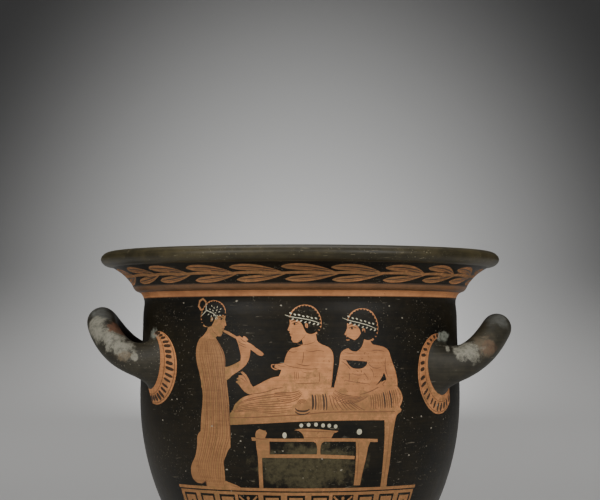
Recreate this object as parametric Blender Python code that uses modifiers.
"""A bell krater: a thrown and fired wine-mixing bowl with a rolled lip, two upturned loop handles and a disc foot.

Units are metres and +Z is up. The origin is on the floor, under the middle of the foot. The handles lie along X, and
the painted front faces -Y. The pot is one closed solid, because the wall, foot and handles are joined in the clay.
"""

import math

import bmesh
import bpy

# The whole pot, and how finely its round shapes are cut
HEIGHT = 0.360
SIDES = 56
SWEEP_STEPS = 9
ROLL_STEPS = 8
SHORT_STEPS = 4

# The rolled lip
LIP_RADIUS = 0.1835
LIP_THICKNESS = 0.0144
LIP_ROLL = 0.011

# The hollow flare under the lip, and the bead that ends it
FLARE_TOP_RADIUS = 0.1708
FLARE_LIP_STEP = 0.0012
FLARE_HEIGHT = 0.0154
FLARE_FOOT_RADIUS = 0.1544
FLARE_HOLLOW = 0.0015
BEAD_RADIUS = 0.1539
BEAD_DROP = 0.0014
BEAD_HEIGHT = 0.0055
BEAD_SWELL = 0.0012
BEAD_FOOT_STEP = 0.0023
NECK_FILLET = 0.0035

# The upright wall, from the neck to the widest part of the belly. The neck's lower end is a drop from the lip
NECK_RADIUS = 0.1445
NECK_DROP = 0.058
BELLY_RADIUS = 0.147
BELLY_HEIGHT = 0.2278

# The bowl under the belly, and the stem
BOWL_DEPTH = 0.1915
BOWL_END_RADIUS = 0.054
STEM_COLLAR_RADIUS = 0.0498
STEM_COLLAR_DROP = 0.002
STEM_RADIUS = 0.047
STEM_HEIGHT = 0.035

# The disc foot
FOOT_RADIUS = 0.088
FOOT_THICKNESS = 0.021
FOOT_ROLL = 0.006
FOOT_SHOULDER_RADIUS = 0.072
FOOT_SHOULDER_RISE = 0.003
FOOT_SHOULDER_STEP = 0.001
FOOT_SHOULDER_HOLLOW = 0.004
RESTING_RING_OUTER = 0.083
RESTING_RING_WIDTH = 0.011
FOOT_HOLLOW_HEIGHT = 0.026
FOOT_HOLLOW_RADIUS = 0.030
FOOT_HOLLOW_ARCH = 0.0026

# The wall, the floor and the mouth
WALL = 0.008
FLOOR_THICKNESS = 0.022
MOUTH_WIDTH = 0.022
MOUTH_DROP = 0.006
MOUTH_ROUNDING = 0.0018

# The handles. The left one was pulled a little higher and thinner. The right one sits lower and further forward
LEFT_ROOT_HEIGHT = 0.2600
LEFT_RISE = 0.0362
LEFT_REACH = 0.0520
LEFT_ARM_RADIUS = 0.0138
RIGHT_ROOT_HEIGHT = 0.2562
RIGHT_RISE = 0.0338
RIGHT_REACH = 0.0500
RIGHT_ARM_RADIUS = 0.0158
RIGHT_TURN = math.radians(-6.5)
HANDLE_HALF_SPAN = 0.060
HANDLE_FIRST_SLOPE = 0.1
HANDLE_LIFT_POWER = 3
HANDLE_TIP_RADIUS = 0.0134
HANDLE_ROOT_RADIUS = 0.025
HANDLE_ROOT_FLARE = 6
HANDLE_ROOT_SINK = 0.002
HANDLE_ROOT_DEPTH = 0.020
HANDLE_HALF_TURN = 106
HANDLE_STEPS = 24
HANDLE_SIDES_SETTING = 6

# Points nearer than this share a place, and edges sharper than this stay sharp
TOUCHING = 0.00001
SHORTEST_EDGE = 0.0001
SHARP_ANGLE = math.radians(40)

# Black gloss over fired clay
GLOSS_COLOUR = (0.030, 0.028, 0.024, 1.0)
GLOSS_ROUGHNESS = 0.35


def curve_between(start, end, bulge, steps):
    """Points from start to end on a shallow curve. A positive bulge swells it to the left of the way it goes."""
    (r0, z0), (r1, z1) = start, end
    length = math.hypot(r1 - r0, z1 - z0)
    left_r = -(z1 - z0) / length
    left_z = (r1 - r0) / length
    points = []
    for step in range(steps + 1):
        share = step / steps
        swell = 4 * bulge * share * (1 - share)
        points.append((r0 + (r1 - r0) * share + left_r * swell, z0 + (z1 - z0) * share + left_z * swell))
    return points


def ellipse_arc(centre, width, height, first, last, steps):
    """Points on an ellipse round centre, from the angle first to the angle last, in degrees from outwards."""
    points = []
    for step in range(steps + 1):
        angle = math.radians(first + (last - first) * step / steps)
        points.append((centre[0] + width * math.cos(angle), centre[1] + height * math.sin(angle)))
    return points


def without_repeats(points):
    """The same line, without points that are hardly apart."""
    kept = [points[0]]
    for point in points[1:]:
        if math.dist(point, kept[-1]) > SHORTEST_EDGE:
            kept.append(point)
    return kept


def flare_top():
    """The corner where the flare starts, under the lip."""
    return (FLARE_TOP_RADIUS, HEIGHT - LIP_THICKNESS - FLARE_LIP_STEP)


def flare_foot():
    """The corner where the flare meets the bead."""
    return (FLARE_FOOT_RADIUS, flare_top()[1] - FLARE_HEIGHT)


def wall_top():
    """Height at which the upright wall begins, under the bead."""
    return flare_foot()[1] - BEAD_DROP - BEAD_HEIGHT - NECK_FILLET


def neck_height():
    """Height of the neck's lower end, where the wall starts to swell."""
    return HEIGHT - NECK_DROP


def wall_radius(height):
    """Outer radius of the upright wall: straight above the neck, and swelling gently down to the belly."""
    share = min(1.0, (height - BELLY_HEIGHT) / (neck_height() - BELLY_HEIGHT))
    return BELLY_RADIUS - (BELLY_RADIUS - NECK_RADIUS) * (1 - math.cos(math.pi * share)) / 2


def lip_and_flare():
    """Outer line from the lip's crest down to the neck."""
    roll_centre = (LIP_RADIUS - LIP_ROLL, HEIGHT - LIP_THICKNESS / 2)
    bead_top = (BEAD_RADIUS, flare_foot()[1] - BEAD_DROP)
    bead_foot = (NECK_RADIUS + BEAD_FOOT_STEP, bead_top[1] - BEAD_HEIGHT)
    line = ellipse_arc(roll_centre, LIP_ROLL, LIP_THICKNESS / 2, 90, -90, ROLL_STEPS)
    line += curve_between(flare_top(), flare_foot(), -FLARE_HOLLOW, SHORT_STEPS)
    line += curve_between(bead_top, bead_foot, BEAD_SWELL, 2)
    return line


def upright_wall():
    """Outer line from the neck down to the belly."""
    heights = [wall_top(), neck_height()]
    for step in range(1, SHORT_STEPS):
        heights.append(neck_height() + (BELLY_HEIGHT - neck_height()) * step / SHORT_STEPS)
    return [(wall_radius(height), height) for height in heights]


def bowl():
    """Outer line from the belly down to the stem, a part of an ellipse."""
    last = math.degrees(math.acos(BOWL_END_RADIUS / BELLY_RADIUS))
    return ellipse_arc((0, BELLY_HEIGHT), BELLY_RADIUS, BOWL_DEPTH, 0, -last, SWEEP_STEPS)


def foot():
    """Outer line of the stem and the disc foot, down to the ring that it stands on."""
    collar = (STEM_COLLAR_RADIUS, bowl()[-1][1] - STEM_COLLAR_DROP)
    shoulder = (FOOT_SHOULDER_RADIUS, FOOT_THICKNESS + FOOT_SHOULDER_RISE)
    shoulder_foot = (FOOT_SHOULDER_RADIUS + FOOT_SHOULDER_STEP, FOOT_THICKNESS)
    roll_centre = (FOOT_RADIUS - FOOT_ROLL, FOOT_THICKNESS / 2)
    line = [collar]
    line += curve_between((STEM_RADIUS, STEM_HEIGHT), shoulder, -FOOT_SHOULDER_HOLLOW, SHORT_STEPS)
    line += [shoulder_foot]
    line += ellipse_arc(roll_centre, FOOT_ROLL, FOOT_THICKNESS / 2, 90, -60, SHORT_STEPS + 1)
    line += [(RESTING_RING_OUTER, 0)]
    return line


def underside():
    """The hollow under the foot, from the resting ring to the axis."""
    ring_inner = (RESTING_RING_OUTER - RESTING_RING_WIDTH, 0)
    hollow_edge = (FOOT_HOLLOW_RADIUS, FOOT_HOLLOW_HEIGHT)
    line = curve_between(ring_inner, hollow_edge, FOOT_HOLLOW_ARCH, SHORT_STEPS)
    line += [(0, FOOT_HOLLOW_HEIGHT)]
    return line


def inside():
    """Inner line, from the middle of the floor up the wall and the mouth to the lip's crest."""
    floor = FOOT_HOLLOW_HEIGHT + FLOOR_THICKNESS
    mouth = (LIP_RADIUS - MOUTH_WIDTH, HEIGHT - MOUTH_DROP)
    crest = (LIP_RADIUS - LIP_ROLL, HEIGHT)
    line = ellipse_arc((0, BELLY_HEIGHT), BELLY_RADIUS - WALL, BELLY_HEIGHT - floor, -90, 0, SWEEP_STEPS)
    line += [(radius - WALL, height) for radius, height in reversed(upright_wall())]
    line += curve_between(line[-1], mouth, -FLARE_HOLLOW, SHORT_STEPS)
    line += curve_between(mouth, crest, MOUTH_ROUNDING, 2)
    return line


def object_from_mesh(mesh, name, collection):
    """A new object that holds the mesh, in the collection."""
    made = bpy.data.objects.new(name, mesh)
    collection.objects.link(made)
    return made


def evaluated_mesh(source):
    """The mesh of an object with its modifiers carried out, its caps and seams welded."""
    bpy.context.view_layer.update()
    depsgraph = bpy.context.evaluated_depsgraph_get()
    mesh = bpy.data.meshes.new_from_object(source.evaluated_get(depsgraph))
    welded = bmesh.new()
    welded.from_mesh(mesh)
    bmesh.ops.remove_doubles(welded, verts=welded.verts, dist=TOUCHING)
    welded.to_mesh(mesh)
    welded.free()
    return mesh


def turned_pot(collection):
    """The pot without handles: one closed line, turned about Z."""
    outline = inside() + lip_and_flare() + upright_wall() + bowl() + foot() + underside()
    outline = without_repeats(outline)
    points = [(radius, 0, height) for radius, height in outline]
    line = bpy.data.meshes.new("pot_line")
    line.from_pydata(points, [(n, n + 1) for n in range(len(points) - 1)], [])
    blank = object_from_mesh(line, "pot_blank", collection)
    screw = blank.modifiers.new("turn", "SCREW")
    screw.axis = "Z"
    screw.angle = 2 * math.pi
    screw.steps = SIDES
    screw.render_steps = SIDES
    screw.use_merge_vertices = True
    screw.merge_threshold = TOUCHING
    turned = object_from_mesh(evaluated_mesh(blank), "bell_krater", collection)
    bpy.data.objects.remove(blank)
    return turned


def handle_sizes(side):
    """Root height, rise, reach, arm radius, and turn about the pot's axis, of the left (-1) or right (1) handle."""
    if side < 0:
        return LEFT_ROOT_HEIGHT, LEFT_RISE, LEFT_REACH, LEFT_ARM_RADIUS, 0
    return RIGHT_ROOT_HEIGHT, RIGHT_RISE, RIGHT_REACH, RIGHT_ARM_RADIUS, RIGHT_TURN


def handle_station(angle, side):
    """A point on a handle's middle line, and the tube's radius there. The angle is 0 at the handle's tip.

    Seen from above, the middle line is more than half of an ellipse, so that its ends meet the wall squarely.
    """
    root_height, rise, reach, arm_radius, turn = handle_sizes(side)
    last = math.radians(HANDLE_HALF_TURN)
    share = (math.cos(angle) - math.cos(last)) / (1 - math.cos(last))
    root_x = math.sqrt((wall_radius(root_height) - HANDLE_ROOT_SINK) ** 2 - HANDLE_HALF_SPAN**2)
    first_rise = HANDLE_FIRST_SLOPE * reach
    outwards = side * (root_x + reach * share)
    along = HANDLE_HALF_SPAN * math.sin(angle) / math.sin(last)
    x = outwards * math.cos(turn) - along * math.sin(turn)
    y = outwards * math.sin(turn) + along * math.cos(turn)
    z = root_height + first_rise * share + (rise - first_rise) * share**HANDLE_LIFT_POWER
    arm = HANDLE_TIP_RADIUS + (arm_radius - HANDLE_TIP_RADIUS) * (1 - share)
    radius = arm + (HANDLE_ROOT_RADIUS - arm_radius) * (1 - share) ** HANDLE_ROOT_FLARE
    return (x, y, z), radius


def buried_end(station):
    """The place inside the wall where a handle's root ends."""
    (x, y, z), radius = station
    inward = 1 - HANDLE_ROOT_DEPTH / math.hypot(x, y)
    return (x * inward, y * inward, z), radius


def handle_tube(side, collection):
    """One handle as a tube whose thick ends reach into the pot."""
    stations = []
    for step in range(HANDLE_STEPS + 1):
        turn = HANDLE_HALF_TURN * (2 * step / HANDLE_STEPS - 1)
        stations.append(handle_station(math.radians(turn), side))
    stations = [buried_end(stations[0]), *stations, buried_end(stations[-1])]
    curve = bpy.data.curves.new("handle_line", "CURVE")
    curve.dimensions = "3D"
    curve.bevel_depth = HANDLE_TIP_RADIUS
    curve.bevel_resolution = HANDLE_SIDES_SETTING
    curve.use_fill_caps = True
    spline = curve.splines.new("POLY")
    spline.points.add(len(stations) - 1)
    for point, (place, radius) in zip(spline.points, stations):
        point.co = (*place, 1)
        point.radius = radius / HANDLE_TIP_RADIUS
    tube = bpy.data.objects.new("handle_tube", curve)
    collection.objects.link(tube)
    handle = object_from_mesh(evaluated_mesh(tube), "handle", collection)
    handle.matrix_world = tube.matrix_world
    bpy.data.objects.remove(tube)
    return handle


def core_cutter(collection):
    """A cylinder that ends inside the wall's thickness. It trims the handles' buried ends."""
    radius = wall_radius(LEFT_ROOT_HEIGHT) - WALL / 2
    built = bmesh.new()
    bmesh.ops.create_cone(
        built, cap_ends=True, segments=SIDES, radius1=radius, radius2=radius, depth=6 * HANDLE_ROOT_RADIUS
    )
    bmesh.ops.translate(built, verts=built.verts, vec=(0, 0, LEFT_ROOT_HEIGHT))
    mesh = bpy.data.meshes.new("core")
    built.to_mesh(mesh)
    built.free()
    cutter = object_from_mesh(mesh, "core", collection)
    cutter.hide_render = True
    cutter.display_type = "WIRE"
    return cutter


def combine(target, other, operation):
    """Carries out a Boolean on the target, and keeps the result as its mesh."""
    boolean = target.modifiers.new(operation.lower(), "BOOLEAN")
    boolean.operation = operation
    boolean.object = other
    result = evaluated_mesh(target)
    target.modifiers.remove(boolean)
    target.data = result


def gloss_material():
    """Black gloss over fired clay."""
    material = bpy.data.materials.new("black_gloss")
    material.use_nodes = True
    shader = material.node_tree.nodes["Principled BSDF"]
    shader.inputs["Base Color"].default_value = GLOSS_COLOUR
    shader.inputs["Roughness"].default_value = GLOSS_ROUGHNESS
    shader.inputs["Metallic"].default_value = 0.0
    material.diffuse_color = GLOSS_COLOUR
    return material


def main():
    for old in list(bpy.data.objects):
        bpy.data.objects.remove(old)
    parts = bpy.data.collections.new("bell_krater")
    cutters = bpy.data.collections.new("cutters")
    bpy.context.scene.collection.children.link(parts)
    bpy.context.scene.collection.children.link(cutters)

    pot = turned_pot(parts)
    core = core_cutter(cutters)
    for side in (-1, 1):
        handle = handle_tube(side, parts)
        combine(handle, core, "DIFFERENCE")
        combine(pot, handle, "UNION")
        bpy.data.objects.remove(handle)
    pot.data.materials.clear()
    pot.data.materials.append(gloss_material())
    pot.data.shade_smooth()
    pot.data.set_sharp_from_angle(angle=SHARP_ANGLE)


main()
